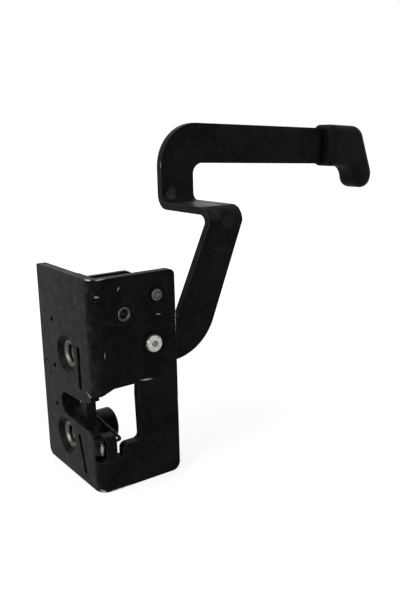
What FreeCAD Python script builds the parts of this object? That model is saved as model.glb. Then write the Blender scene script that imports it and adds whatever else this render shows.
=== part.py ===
"""Side door lock with an inside pull lever: folded lock plate, fork and pawl on threaded bushes.

X runs along the side plate, Y runs from the side plate into the lock, Z is up.
The origin is the lower corner of the fold, where the two outer faces would meet.
All lengths are millimetres.
"""
import FreeCAD
import Part
import Sketcher
import math
import os
import re

V = FreeCAD.Vector
doc = FreeCAD.newDocument("DoorLock")

# Driving dimensions
SIZES = {
    # folded lock plate
    "plate_height": 80.0,
    "front_width": 45.4,
    "side_width": 34.6,
    "sheet": 3.5,
    "fold_radius": 4.5,
    "front_top_corner": 1.2,
    "front_low_corner": 3.0,
    "side_top_corner": 2.2,
    "side_low_corner": 3.3,
    # striker slot and the window beside it
    "slot_level": 27.6,
    "slot_end": 25.8,
    "slot_radius": 4.6,
    "mouth_top": 36.6,
    "mouth_low": 20.4,
    "mouth_flare": 6.6,
    "window_top": 39.5,
    "window_low": 17.0,
    "window_right": 17.4,
    "window_corner": 2.0,
    "lip_run": 2.7,
    "lip_ramp": 4.6,
    "slit_width": 2.6,
    "slit_corner": 2.2,
    "slit_low": 12.7,
    "tab_left": 3.3,
    "tab_right": 7.4,
    "tab_top": 21.0,
    "tab_reach": 2.1,
    "tab_thick": 3.0,
    "tongue_right": 2.5,
    "tongue_recess": 0.8,
    "tongue_left": 0.9,
    "tongue_slit": 2.4,
    "notch_low": 11.8,
    "notch_high": 14.5,
    "notch_depth": 3.4,
    # pressed marks on the lock plate
    "groove_width": 2.7,
    "groove_depth": 1.1,
    "groove_across": 12.2,
    "groove_low": 38.6,
    "groove_high": 52.5,
    "slant_low": 4.7,
    "slant_high": 17.2,
    "slant_foot": 12.2,
    "slant_head": 15.6,
    "gauge_hole": 2.2,
    "gauge_across": 34.2,
    "gauge_low": 25.0,
    "gauge_mid": 41.1,
    "gauge_high": 59.7,
    "pip_inset": 4.4,
    "pip_level": 38.6,
    "pip_diameter": 6.6,
    "pip_line": 0.5,
    "dish_depth": 0.7,
    "dish_rim": 1.6,
    # threaded bushes
    "upper_across": 23.1,
    "upper_level": 48.3,
    "lower_across": 27.6,
    "lower_level": 13.9,
    "funnel": 15.2,
    "funnel_depth": 1.7,
    "spigot": 10.1,
    "journal": 11.4,
    "bush_head": 13.2,
    "journal_end": 12.8,
    "bush_end": 19.8,
    "thread_bore": 6.8,
    "thread_lead": 8.4,
    # fork
    "play": 0.4,
    "fit": 0.06,
    "fork_thick": 4.0,
    "lever_plane": 7.9,
    "fork_hub": 10.0,
    "throat_radius": 4.75,
    "throat_offset": 1.55,
    "trap_edge": 11.1,
    "trap_tip": 20.0,
    "back_edge": 8.0,
    "back_tip": 18.8,
    "tooth_radius": 15.0,
    "notch_radius": 12.6,
    "tooth_angle": 67.5,
    "heel_radius": 12.2,
    # pawl
    "pawl_hub": 9.2,
    "nose_angle": 57.0,
    "nose_radius": 13.5,
    "nose_length": 4.3,
    "arm_inner": 37.2,
    "arm_outer": 43.0,
    "ear_near": 12.2,
    "ear_width": 3.8,
    "ear_rise": 3.5,
    "ear_thick": 3.0,
    "ear_end": 17.8,
    # torsion springs on the bushes
    "spring_wire": 1.2,
    "spring_mean": 14.0,
    "fork_spring_pitch": 1.4,
    "pawl_spring_pitch": 1.5,
    "spacer_diameter": 12.5,
    # inner bracket
    "bracket_near": 10.9,
    "bracket_sheet": 2.2,
    "bracket_top": 79.2,
    "bracket_low": 41.5,
    "bracket_right": 33.2,
    "bracket_top_right": 23.6,
    "bracket_slope_end": 70.0,
    "bracket_corner": 3.0,
    "gate_low": 47.0,
    "gate_high": 62.5,
    "gate_right": 18.6,
    "flange_far": 22.3,
    # rivets between lock plate and bracket
    "tube_x": 13.0,
    "tube_z": 66.2,
    "tube_diameter": 5.2,
    "tube_bore": 3.2,
    "tube_spacer": 8.0,
    "post_x": 26.8,
    "post_z": 71.2,
    "post_diameter": 4.5,
    "post_spacer": 6.0,
    "rivet_stand": 0.35,
    "rivet_head_high": 1.2,
    "post_dish": 8.3,
    # lever pivot
    "pivot_x": 24.9,
    "pivot_z": 53.1,
    "pivot_end": 6.8,
    "pivot_shank": 8.0,
    "pivot_tail": 6.0,
    "pivot_dish": 11.8,
    "collar_diameter": 9.4,
    "thrust_washer": 14.0,
    # pull lever
    "strap_thick": 3.0,
    "strap_width": 16.2,
    "hub_radius": 10.5,
    "lobe_radius": 4.8,
    "stud_back": 9.8,
    "stud_diameter": 4.4,
    "stud_neck": 3.2,
    "stud_end": 16.3,
    "heel_x": 38.5,
    "heel_z": 43.6,
    "sweep_x": 54.4,
    "sweep_z": 55.5,
    "sweep_radius": 21.5,
    "leg_left": 53.8,
    "crotch_x": 38.6,
    "crotch_z": 60.8,
    "crotch_radius": 5.5,
    "bend_radius": 3.0,
    "ledge_top": 100.1,
    "setback": 33.4,
    "arm_top": 132.0,
    "arm_width": 16.8,
    "arm_drop": 0.048,
    "corner_outer": 18.0,
    "corner_inner": 4.5,
    "arm_end": 160.0,
    # moulded grip
    "grip_cover": 12.6,
    "grip_length": 29.2,
    "grip_thick": 15.0,
    "grip_inset": 1.8,
    "grip_height": 19.8,
    "grip_round": 4.0,
    "grip_corner": 4.5,
    "grip_end_round": 2.6,
    "tip_drop": 11.6,
    "belly_run": 12.2,
    "belly_fall": 0.5,
    "belly_radius": 7.4,
    "neck_run": 18.4,
    "neck_rise": 4.5,
    "neck_radius": 5.5,
    "tip_rise": 4.3,
    "tip_flat": 5.0,
    "tip_radius": 8.0,
    "brow_run": 23.3,
    "brow_fall": 6.6,
    "brow_radius": 7.3,
    "crown_run": 17.4,
    "crown_fall": 1.1,
    # return spring on the lever pivot
    "return_wire": 1.2,
    "return_mean": 11.6,
    "return_pitch": 1.35,
}

sheet = doc.addObject("Spreadsheet::Sheet", "Sizes")
for row, (alias, value) in enumerate(SIZES.items(), start=1):
    sheet.set("A%d" % row, alias)
    sheet.set("B%d" % row, str(value))
    sheet.setAlias("B%d" % row, alias)
doc.recompute()

WORD = re.compile(r"[a-z_]+")


def ex(text):
    """Turn plain size names in a formula into references to the sheet."""
    return WORD.sub(lambda m: "Sizes." + m.group(0) if m.group(0) in SIZES else m.group(0), str(text))


def val(text):
    """The number that a formula on the sheet gives."""
    result = sheet.evalExpression(ex(text))
    return float(getattr(result, "Value", result))


def bind(obj, prop, text):
    obj.setExpression(prop, ex(text))


def new_body(label, x=None, y=None, z=None):
    body = doc.addObject("PartDesign::Body", label)
    body.Label = label
    for axis, text in (("x", x), ("y", y), ("z", z)):
        if text is not None:
            bind(body, ".Placement.Base." + axis, text)
    return body


def sketch(body, name, plane, depth="0"):
    """A sketch on one of the body's own origin planes, set in by depth along the plane's normal."""
    made = body.newObject("Sketcher::SketchObject", name)
    origin_plane = next(f for f in body.Origin.OriginFeatures if f.Role == plane)
    made.AttachmentSupport = [(origin_plane, "")]
    made.MapMode = "FlatFace"
    bind(made, ".AttachmentOffset.Base.z", depth)
    return made


def pin_point(made, geo, end, u, v):
    for kind, text in (("DistanceX", u), ("DistanceY", v)):
        index = made.addConstraint(Sketcher.Constraint(kind, -1, 1, geo, end, val(text)))
        bind(made, "Constraints[%d]" % index, text)


def arc_centre(a, b, radius):
    """Centre of the arc from a to b; a positive radius turns left on the way."""
    mid = (a + b) * 0.5
    half = (b - a) * 0.5
    rise = math.sqrt(max(radius * radius - half.Length ** 2, 0.0))
    left = V(-half.y, half.x, 0).normalize()
    return mid + left * math.copysign(rise, radius)


def outline(made, corners):
    """A closed outline. A corner is (u, v) or (u, v, radius) when an arc leads on from it."""
    spots = [V(val(c[0]), val(c[1]), 0) for c in corners]
    first = made.GeometryCount
    for i, corner in enumerate(corners):
        a = spots[i]
        b = spots[(i + 1) % len(spots)]
        if len(corner) == 2:
            made.addGeometry(Part.LineSegment(a, b), False)
            continue
        radius = val(corner[2])
        centre = arc_centre(a, b, radius)
        circle = Part.Circle(centre, V(0, 0, 1), abs(radius))
        start, stop = (a, b) if radius > 0 else (b, a)
        made.addGeometry(Part.ArcOfCircle(circle, circle.parameter(start), circle.parameter(stop)), False)
    for i, corner in enumerate(corners):
        geo = first + i
        turned = len(corner) == 3 and val(corner[2]) < 0
        after = corners[(i + 1) % len(corners)]
        following = first + (i + 1) % len(corners)
        after_turned = len(after) == 3 and val(after[2]) < 0
        pin_point(made, geo, 2 if turned else 1, corner[0], corner[1])
        made.addConstraint(Sketcher.Constraint("Coincident", geo, 1 if turned else 2,
                                               following, 2 if after_turned else 1))
        chord = spots[(i + 1) % len(spots)] - spots[i]
        if len(corner) == 3 and abs(val(corner[2])) > chord.Length / 2 + 0.001:
            index = made.addConstraint(Sketcher.Constraint("Radius", geo, abs(val(corner[2]))))
            bind(made, "Constraints[%d]" % index, "abs(%s)" % corner[2])
    return made


def ring(made, u, v, radius):
    """A full circle at (u, v)."""
    geo = made.addGeometry(Part.Circle(V(val(u), val(v), 0), V(0, 0, 1), val(radius)), False)
    pin_point(made, geo, 3, u, v)
    index = made.addConstraint(Sketcher.Constraint("Radius", geo, val(radius)))
    bind(made, "Constraints[%d]" % index, radius)
    return made


def pad(body, profile, length, back=False):
    made = body.newObject("PartDesign::Pad", profile.Name + "Pad")
    made.Profile = profile
    made.Reversed = back
    bind(made, "Length", length)
    doc.recompute()
    return made


def pocket(body, profile, length, back=False):
    before = body.Shape.Volume
    made = body.newObject("PartDesign::Pocket", profile.Name + "Cut")
    made.Profile = profile
    made.Reversed = back
    bind(made, "Length", length)
    doc.recompute()
    if body.Shape.Volume > before - 1e-6:
        raise RuntimeError(made.Name + " removes nothing")
    return made


def turned(label, profile, along, x=None, y=None, z=None):
    """A turned piece. The profile holds (station, radius) pairs along X or along Y."""
    body = new_body(label, x, y, z)
    if along == "X":
        made = outline(sketch(body, label + "Half", "XZ_Plane"), profile)
        axis = "H_Axis"
    else:
        made = outline(sketch(body, label + "Half", "XY_Plane"), [(r, s) for s, r in profile])
        axis = "V_Axis"
    spin = body.newObject("PartDesign::Revolution", label + "Spin")
    spin.Profile = made
    spin.ReferenceAxis = (made, [axis])
    spin.Angle = 360
    doc.recompute()
    return body


def edges_near(shape, spots, reach=0.05):
    """Names of the straight edges whose line passes each spot; None leaves a coordinate free."""
    names = []
    for i, edge in enumerate(shape.Edges, start=1):
        if edge.Curve.TypeId != "Part::GeomLine":
            continue
        ends = [vertex.Point for vertex in edge.Vertexes]
        for spot in spots:
            if all(want is None or all(abs(end[k] - want) < reach for end in ends)
                   for k, want in enumerate(spot)):
                names.append("Edge%d" % i)
    return names


def round_edges(body, spots, radius, label):
    base = body.Tip
    names = edges_near(base.Shape, [[None if s is None else val(s) for s in spot] for spot in spots])
    if not names:
        raise RuntimeError(label + " finds no edge")
    made = body.newObject("PartDesign::Fillet", label)
    made.Base = (base, names)
    bind(made, "Radius", radius)
    body.Tip = made
    doc.recompute()
    return made


# Folded lock plate
lock_plate = new_body("lock_plate")
section = outline(sketch(lock_plate, "PlateSection", "XY_Plane"), [
    ("0", "0"), ("side_width", "0"), ("side_width", "sheet"),
    ("sheet", "sheet"), ("sheet", "front_width"), ("0", "front_width")])
pad(lock_plate, section, "plate_height")
round_edges(lock_plate, [("0", "0", None)], "fold_radius", "FoldOuter")
round_edges(lock_plate, [("sheet", "sheet", None)], "fold_radius - sheet", "FoldInner")
round_edges(lock_plate, [(None, "front_width", "plate_height")], "front_top_corner", "FrontTopCorner")
round_edges(lock_plate, [(None, "front_width", "0")], "front_low_corner", "FrontLowCorner")
round_edges(lock_plate, [("side_width", None, "plate_height")], "side_top_corner", "SideTopCorner")
round_edges(lock_plate, [("side_width", None, "0")], "side_low_corner", "SideLowCorner")

# Striker slot: a round end and two edges that flare towards the fold
slot = outline(sketch(lock_plate, "StrikerSlot", "YZ_Plane", "-1"), [
    ("slot_end", "slot_level - slot_radius", "slot_radius"),
    ("slot_end", "slot_level + slot_radius"),
    ("2 * mouth_flare", "slot_level + slot_radius + 0.5"),
    ("mouth_flare", "slot_level + slot_radius + 1.6"),
    ("-1", "mouth_top"),
    ("-1", "mouth_low - 0.3"),
    ("mouth_flare / 2", "mouth_low + 0.6"),
    ("mouth_flare * 1.25", "slot_level - slot_radius - 0.6")])
pocket(lock_plate, slot, "1 + fold_radius + 0.1", back=True)

# Window in the side plate, with the slit that frees the spring tab
window = outline(sketch(lock_plate, "Window", "XZ_Plane", "1"), [
    ("-1", "mouth_top"),
    ("-1", "mouth_low - 0.3"),
    ("tab_left", "mouth_low - 0.3"),
    ("tab_left", "slit_low"),
    ("tab_right + slit_width", "slit_low"),
    ("tab_right + slit_width", "window_low - slit_corner", "-slit_corner"),
    ("tab_right + slit_width + slit_corner", "window_low"),
    ("window_right + 0.4 - window_corner", "window_low", "window_corner"),
    ("window_right + 0.4", "window_low + window_corner"),
    ("window_right", "window_top - 5"),
    ("window_right + 0.2", "window_top - 6 / 5"),
    ("window_right - 1", "window_top"),
    ("lip_run + lip_ramp", "window_top - 0.1"),
    ("lip_run", "mouth_top + 0.9")])
pocket(lock_plate, window, "1 + fold_radius")
notch = outline(sketch(lock_plate, "FoldNotch", "XZ_Plane", "1"), [
    ("-1", "notch_low + 1"), ("tongue_left", "notch_low"), ("tab_left", "notch_low"),
    ("tab_left", "notch_high"), ("-1", "notch_high")])
pocket(lock_plate, notch, "1 + notch_depth")
tongue = outline(sketch(lock_plate, "TongueFace", "XZ_Plane", "1"), [
    ("tongue_left", "notch_high - 0.1"), ("tongue_right + 0.1", "notch_high - 0.1"),
    ("tongue_right + 0.1", "mouth_low"), ("tongue_left", "mouth_low")])
pocket(lock_plate, tongue, "1 + tongue_recess")
tongue_slit = outline(sketch(lock_plate, "TongueSlit", "XZ_Plane", "1"), [
    ("tongue_right", "notch_high - 0.1"), ("tab_left", "notch_high - 0.1"),
    ("tab_left", "mouth_low"), ("tongue_right", "mouth_low")])
pocket(lock_plate, tongue_slit, "1 + tongue_slit")

# Spring tab: stands in the plate and turns in at its top
tab = outline(sketch(lock_plate, "SpringTab", "YZ_Plane", "tab_left"), [
    ("0", "slit_low - 0.5"), ("sheet", "slit_low - 0.5"),
    ("sheet", "tab_top - tab_thick"), ("sheet + tab_reach", "tab_top - tab_thick"),
    ("sheet + tab_reach", "tab_top"), ("1.8", "tab_top", "1.8"), ("0", "tab_top - 1.8")])
pad(lock_plate, tab, "tab_right - tab_left")

# Holes and marks
for level in ("upper", "lower"):
    seat = ring(sketch(lock_plate, level.title() + "Seat", "YZ_Plane", "-1"),
                level + "_across", level + "_level", "spigot / 2")
    pocket(lock_plate, seat, "2 + sheet", back=True)
pivot_seat = ring(sketch(lock_plate, "PivotSeat", "XZ_Plane", "1"), "pivot_x", "pivot_z", "pivot_end / 2")
ring(pivot_seat, "tube_x", "tube_z", "tube_diameter / 2")
ring(pivot_seat, "post_x", "post_z", "post_diameter / 2")
pocket(lock_plate, pivot_seat, "2 + sheet")
gauges = ring(sketch(lock_plate, "GaugeHoles", "YZ_Plane", "-1"),
              "gauge_across", "gauge_high", "gauge_hole / 2")
ring(gauges, "gauge_across", "gauge_mid", "gauge_hole / 2")
ring(gauges, "gauge_across + 0.4", "gauge_low", "gauge_hole / 2")
pocket(lock_plate, gauges, "2 + sheet", back=True)
grooves = outline(sketch(lock_plate, "Grooves", "YZ_Plane", "0"), [
    ("groove_across - groove_width / 2", "groove_low", "groove_width / 2"),
    ("groove_across + groove_width / 2", "groove_low"),
    ("groove_across + groove_width / 2", "groove_high", "groove_width / 2"),
    ("groove_across - groove_width / 2", "groove_high")])
outline(grooves, [
    ("slant_foot - groove_width / 2", "slant_low", "groove_width / 2"),
    ("slant_foot + groove_width / 2", "slant_low"),
    ("slant_head + groove_width / 2", "slant_high", "groove_width / 2"),
    ("slant_head - groove_width / 2", "slant_high")])
pocket(lock_plate, grooves, "groove_depth", back=True)
pip_across = "front_width - pip_inset"
pip = ring(sketch(lock_plate, "LocatingPip", "YZ_Plane", "0"), pip_across, "pip_level", "pip_diameter / 2")
ring(pip, pip_across, "pip_level", "pip_diameter / 2 - pip_line")
pocket(lock_plate, pip, "0.5", back=True)
pad_mark = outline(sketch(lock_plate, "PressedPad", "XZ_Plane", "0"), [
    ("tube_x - 7.6", "tube_z", "7.6"),
    ("tube_x + 4.2", "tube_z - 1.5"),
    ("tube_x + 3.6", "tube_z + 2.6"),
    ("tube_x - 2.4", "tube_z + 10.2"),
    ("tube_x - 5.4", "tube_z + 9.4")])
pocket(lock_plate, pad_mark, "dish_depth / 2")
for name, x, z, rim in (("Post", "post_x", "post_z", "post_dish"),
                        ("Pivot", "pivot_x", "pivot_z", "pivot_dish")):
    dish = lock_plate.newObject("PartDesign::SubtractiveCone", name + "Dish")
    plane = next(f for f in lock_plate.Origin.OriginFeatures if f.Role == "XZ_Plane")
    dish.AttachmentSupport = [(plane, "")]
    dish.MapMode = "FlatFace"
    bind(dish, "Radius1", rim + " / 2 - dish_rim")
    bind(dish, "Radius2", rim + " / 2 + dish_rim / 2")
    bind(dish, "Height", "1.5 * dish_depth")
    bind(dish, ".AttachmentOffset.Base.x", x)
    bind(dish, ".AttachmentOffset.Base.y", z)
    bind(dish, ".AttachmentOffset.Base.z", "-dish_depth")
    doc.recompute()
for level in ("upper", "lower"):
    funnel = lock_plate.newObject("PartDesign::SubtractiveCone", level.title() + "Funnel")
    plane = next(f for f in lock_plate.Origin.OriginFeatures if f.Role == "YZ_Plane")
    funnel.AttachmentSupport = [(plane, "")]
    funnel.MapMode = "FlatFace"
    bind(funnel, "Radius1", "funnel / 2 + 0.6")
    bind(funnel, "Radius2", "spigot / 2 + 0.6")
    bind(funnel, "Height", "funnel_depth + 0.5")
    bind(funnel, ".AttachmentOffset.Base.x", level + "_across")
    bind(funnel, ".AttachmentOffset.Base.y", level + "_level")
    bind(funnel, ".AttachmentOffset.Base.z", "-0.5")
    doc.recompute()


# Threaded bushes: the spigot sits in the plate, the journal carries the fork or the pawl
bushes = []
for level in ("lower", "upper"):
    bushes.append(turned(level + "_bush", [
        ("funnel_depth", "thread_lead / 2"), ("funnel_depth", "spigot / 2"),
        ("sheet", "spigot / 2"), ("sheet", "journal / 2"),
        ("journal_end", "journal / 2"), ("journal_end", "bush_head / 2"),
        ("bush_end - 0.5", "bush_head / 2"), ("bush_end", "bush_head / 2 - 0.5"),
        ("bush_end", "thread_bore / 2"),
        ("funnel_depth + (thread_lead - thread_bore) / 2", "thread_bore / 2")],
        "X", None, level + "_across", level + "_level"))
spacers = []
for name, level in (("fork_spacer", "lower"), ("pawl_spacer", "upper")):
    spacers.append(turned(name, [
        ("lever_plane + play / 4", "journal / 2 + fit"), ("lever_plane + play / 4", "spacer_diameter / 2"),
        ("journal_end - play / 4", "spacer_diameter / 2"), ("journal_end - play / 4", "journal / 2 + fit")],
        "X", None, level + "_across", level + "_level"))


def polar(radius, angle, du="0", dv="0"):
    """A point at an angle that is measured from straight up towards the plate's free edge."""
    turn = "(%s) * 1deg" % angle
    return ("%s + (%s) * sin(%s)" % (du, radius, turn), "%s + (%s) * cos(%s)" % (dv, radius, turn))


# Fork: two prongs round the striker, a step for the pawl on the far side of its hub
fork = new_body("fork", "sheet + play", "lower_across", "lower_level")
throat_left = "-throat_offset - throat_radius"
throat_right = "throat_radius - throat_offset"
fork_outline = outline(sketch(fork, "ForkOutline", "YZ_Plane"), [
    (throat_right, "back_tip - 0.7"),
    (throat_right, "slot_level - lower_level", "-throat_radius"),
    (throat_left, "slot_level - lower_level"),
    (throat_left, "trap_tip - 0.6"),
    (throat_left + " - 1.1", "trap_tip + 0.3"),
    (throat_left + " - 3.1", "trap_tip - 0.4"),
    ("-trap_edge", "trap_tip - 3"),
    ("-trap_edge", "fork_hub + 1"),
    ("-fork_hub", "0", "fork_hub"),
    polar("fork_hub", "140"),
    polar("heel_radius", "100"),
    polar("tooth_radius", "tooth_angle"),
    polar("notch_radius", "tooth_angle") + ("notch_radius",),
    polar("notch_radius", "40"),
    ("back_edge", "back_tip - 5.3"),
    ("back_edge - 0.6", "back_tip - 1.4"),
    ("back_edge - 2.6", "back_tip")])
pad(fork, fork_outline, "fork_thick")
fork_holes = ring(sketch(fork, "ForkHoles", "YZ_Plane", "-1"), "0", "0", "journal / 2 + fit")
ring(fork_holes, "0", "-spring_mean / 2", "spring_wire / 2 + 0.4")
pocket(fork, fork_holes, "2 + fork_thick", back=True)
round_edges(fork, [(None, throat_left, "trap_tip - 0.6"), (None, "-trap_edge", "trap_tip - 3"),
                   (None, throat_right, "back_tip - 0.7"), (None, "back_edge - 0.6", "back_tip - 1.4")],
            "0.8", "ProngTips")

# Pawl: its nose stands before the fork's step, its ear carries the lever's stud
pawl = new_body("pawl", "sheet + play", "upper_across", "upper_level")
across = "(lower_across - upper_across)"
down = "(lower_level - upper_level)"
pawl_outline = outline(sketch(pawl, "PawlOutline", "YZ_Plane"), [
    polar("nose_radius", "nose_angle", across, down),
    polar("nose_radius + nose_length", "nose_angle", across, down),
    ("arm_outer - upper_across", down + " + 15.1"),
    ("arm_outer - upper_across - 2.6", "-7.8"),
    polar("pawl_hub", "65") + ("pawl_hub",),
    polar("pawl_hub", "-10"),
    ("ear_near - upper_across", "ear_rise + ear_thick"),
    ("ear_near - upper_across", "ear_rise"),
    polar("pawl_hub", "-80") + ("pawl_hub",),
    polar("pawl_hub", "165"),
    ("arm_inner - upper_across", "-13.5"),
    ("arm_inner - upper_across", "-19.5")])
pad(pawl, pawl_outline, "fork_thick")
ear = outline(sketch(pawl, "Ear", "YZ_Plane", "fork_thick - 0.5"), [
    ("ear_near - upper_across", "ear_rise"), ("ear_near - upper_across + ear_width", "ear_rise"),
    ("ear_near - upper_across + ear_width", "ear_rise + ear_thick"),
    ("ear_near - upper_across", "ear_rise + ear_thick")])
pad(pawl, ear, "ear_end - sheet - play - fork_thick + 0.5")
pawl_holes = ring(sketch(pawl, "PawlHoles", "YZ_Plane", "-1"), "0", "0", "journal / 2 + fit")
ring(pawl_holes, "0", "spring_mean / 2", "spring_wire / 2 + 0.4")
pocket(pawl, pawl_holes, "2 + fork_thick", back=True)

# Inner bracket: folded on to the back of the front plate, with a gate for the ear and the stud
bracket = new_body("inner_bracket")
bracket_outline = outline(sketch(bracket, "BracketOutline", "XZ_Plane", "-bracket_near"), [
    ("sheet", "gate_high"), ("gate_right", "gate_high"), ("gate_right", "gate_low"), ("sheet", "gate_low"),
    ("sheet", "bracket_low"), ("bracket_right - bracket_corner", "bracket_low", "bracket_corner"),
    ("bracket_right", "bracket_low + bracket_corner"), ("bracket_right", "bracket_slope_end"),
    ("bracket_top_right", "bracket_top - 2.2", "3.6"),
    ("bracket_top_right - 2.6", "bracket_top"), ("sheet", "bracket_top")])
pad(bracket, bracket_outline, "bracket_sheet", back=True)
flange = outline(sketch(bracket, "Flange", "YZ_Plane", "sheet"), [
    ("bracket_near", "gate_high"), ("flange_far - 4", "gate_high"), ("flange_far", "gate_high + 5"),
    ("flange_far", "bracket_top - 2.4", "2.4"), ("flange_far - 2.4", "bracket_top"),
    ("bracket_near", "bracket_top")])
pad(bracket, flange, "bracket_sheet")
round_edges(bracket, [("sheet", "bracket_near", None)], "bracket_sheet - 0.4", "BracketFold")
bracket_holes = ring(sketch(bracket, "BracketHoles", "XZ_Plane", "1 - bracket_near"),
                     "pivot_x", "pivot_z", "pivot_tail / 2")
ring(bracket_holes, "tube_x", "tube_z", "tube_diameter / 2")
ring(bracket_holes, "post_x", "post_z", "post_diameter / 2")
pocket(bracket, bracket_holes, "2 + bracket_sheet")

# Rivets, spacers and the lever's pivot, turned about axes along Y
behind = "(bracket_near + bracket_sheet)"
tube_rivet = turned("tubular_rivet", [
    ("-rivet_stand", "tube_bore / 2 + 0.5"), ("-rivet_stand", "tube_diameter / 2 - 0.4"),
    ("0", "tube_diameter / 2"), (behind, "tube_diameter / 2"), (behind, "tube_diameter / 2 + 1.3"),
    (behind + " + 0.8", "tube_diameter / 2 + 1.1"), (behind + " + 0.8", "tube_bore / 2"),
    ("0.3", "tube_bore / 2")], "Y", "tube_x", None, "tube_z")
post_rivet = turned("post_rivet", [
    ("-rivet_stand", "0"), ("-rivet_stand", "post_diameter / 2 - 0.4"), ("0", "post_diameter / 2"),
    (behind, "post_diameter / 2"), (behind, "post_diameter / 2 + 1.4"),
    (behind + " + rivet_head_high", "post_diameter / 2 + 0.8"),
    (behind + " + rivet_head_high", "0")], "Y", "post_x", None, "post_z")
pivot_pin = turned("pivot_pin", [
    ("-rivet_stand - 0.2", "0.7"), ("-rivet_stand - 0.2", "pivot_end / 2 - 0.4"),
    ("0", "pivot_end / 2"), ("sheet", "pivot_end / 2"), ("sheet", "pivot_shank / 2"),
    ("bracket_near", "pivot_shank / 2"), ("bracket_near", "pivot_tail / 2"),
    (behind, "pivot_tail / 2"), (behind, "pivot_tail / 2 + 1.6"),
    (behind + " + rivet_head_high", "pivot_tail / 2 + 0.9"),
    (behind + " + rivet_head_high", "0"), ("0.3", "0")], "Y", "pivot_x", None, "pivot_z")


def sleeve(label, start, stop, bore, outside, x, z):
    return turned(label, [(start, bore), (start, outside), (stop, outside), (stop, bore)], "Y", x, None, z)


tube_spacer = sleeve("tube_spacer", "sheet", "bracket_near", "tube_diameter / 2", "tube_spacer / 2",
                     "tube_x", "tube_z")
post_spacer = sleeve("post_spacer", "sheet", "bracket_near", "post_diameter / 2", "post_spacer / 2",
                     "post_x", "post_z")
strap_back = "(sheet + play + strap_thick)"
thrust_washer = sleeve("thrust_washer", "sheet", "sheet + play - 0.05", "pivot_shank / 2 + fit",
                       "thrust_washer / 2", "pivot_x", "pivot_z")
spring_collar = sleeve("spring_collar", strap_back + " + 0.05", "bracket_near", "pivot_shank / 2 + fit",
                       "collar_diameter / 2", "pivot_x", "pivot_z")

# Pull lever: one strap, cut to its outline and cranked back twice
strap = new_body("handle_strap")
stud_x = "(pivot_x - stud_back)"
stud_z = "(upper_level + ear_rise + ear_thick + 0.3 + stud_diameter / 2)"


def on_hub(angle):
    return ("pivot_x + hub_radius * cos(%s * 1deg)" % angle, "pivot_z + hub_radius * sin(%s * 1deg)" % angle)


bend_start = "(ledge_top - strap_thick - bend_radius)"
leg_right = "(leg_left + strap_width)"
lower_part = outline(sketch(strap, "LowerStrap", "XZ_Plane", "-sheet - play"), [
    (leg_right, bend_start), ("leg_left", bend_start),
    ("crotch_x", "crotch_z", "-crotch_radius"),
    on_hub("55") + ("hub_radius",), on_hub("115"),
    (stud_x + " + 1.2", stud_z + " + lobe_radius * 0.968", "lobe_radius"),
    (stud_x + " - 3.1", stud_z + " - lobe_radius * 0.763"),
    on_hub("215") + ("hub_radius",), on_hub("279"),
    ("heel_x", "heel_z", "sweep_radius"), ("sweep_x", "sweep_z")])
pad(strap, lower_part, "strap_thick", back=True)
near = "(sheet + play)"
far = "(sheet + play + setback)"
crank = outline(sketch(strap, "Crank", "YZ_Plane", "leg_left"), [
    (near + " + strap_thick", bend_start, "-bend_radius"),
    (near + " + strap_thick + bend_radius", "ledge_top - strap_thick"),
    (far + " - bend_radius", "ledge_top - strap_thick", "bend_radius + strap_thick"),
    (far + " + strap_thick", "ledge_top + bend_radius"),
    (far, "ledge_top + bend_radius", "-bend_radius"),
    (far + " - bend_radius", "ledge_top"),
    (near + " + strap_thick + bend_radius", "ledge_top", "bend_radius + strap_thick"),
    (near, bend_start)])
pad(strap, crank, "strap_width")
arm_low = "(arm_top - arm_width)"
arm_run = "(arm_end - leg_left - corner_outer)"
upper_part = outline(sketch(strap, "UpperStrap", "XZ_Plane", "-sheet - play - setback"), [
    ("leg_left", "ledge_top + bend_radius"), (leg_right, "ledge_top + bend_radius"),
    (leg_right, arm_low + " - corner_inner", "-corner_inner"), (leg_right + " + corner_inner", arm_low),
    ("arm_end", arm_low + " - arm_drop * " + arm_run), ("arm_end", "arm_top - arm_drop * " + arm_run),
    ("leg_left + corner_outer", "arm_top", "corner_outer"), ("leg_left", "arm_top - corner_outer")])
pad(strap, upper_part, "strap_thick", back=True)
strap_holes = ring(sketch(strap, "StrapHoles", "XZ_Plane", "1 - sheet - play"),
                   "pivot_x", "pivot_z", "pivot_shank / 2 + fit")
ring(strap_holes, stud_x, stud_z, "stud_neck / 2")
pocket(strap, strap_holes, "2 + strap_thick")
drive_stud = turned("drive_stud", [
    (near + " + 0.1", "0"), (near + " + 0.1", "stud_neck / 2"), (strap_back, "stud_neck / 2"),
    (strap_back, "stud_diameter / 2"), ("stud_end - 0.4", "stud_diameter / 2"),
    ("stud_end", "stud_diameter / 2 - 0.4"), ("stud_end", "0")], "Y", stud_x, None, stud_z)

# Moulded grip: a rounded sleeve on the strap's end, with its tip turned down
grip_body = new_body("GripBody")
middle = "(sheet + play + setback + strap_thick / 2)"
grip_start = "(arm_end - grip_cover)"
grip_top = "(arm_top - grip_inset)"
grip_low = "(arm_top - grip_inset - grip_height)"
tip_low = "(arm_top - grip_inset - grip_height - tip_drop)"
belly = (grip_start + " + belly_run", grip_low + " - belly_fall")
neck = (grip_start + " + neck_run", tip_low + " + neck_rise")
tip_under = (grip_start + " + grip_length", tip_low + " + tip_rise")
tip_over = (grip_start + " + grip_length", tip_low + " + tip_rise + tip_flat")
brow = (grip_start + " + brow_run", grip_top + " - brow_fall")
crown = (grip_start + " + crown_run", grip_top + " - crown_fall")
grip_outline = outline(sketch(grip_body, "GripOutline", "XZ_Plane", "grip_thick / 2 - " + middle), [
    (grip_start, grip_low), belly + ("-belly_radius",), neck + ("neck_radius",),
    tip_under + ("tip_radius",), tip_over, brow + ("brow_radius",), crown, (grip_start, grip_top)])
pad(grip_body, grip_outline, "grip_thick", back=True)

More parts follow.
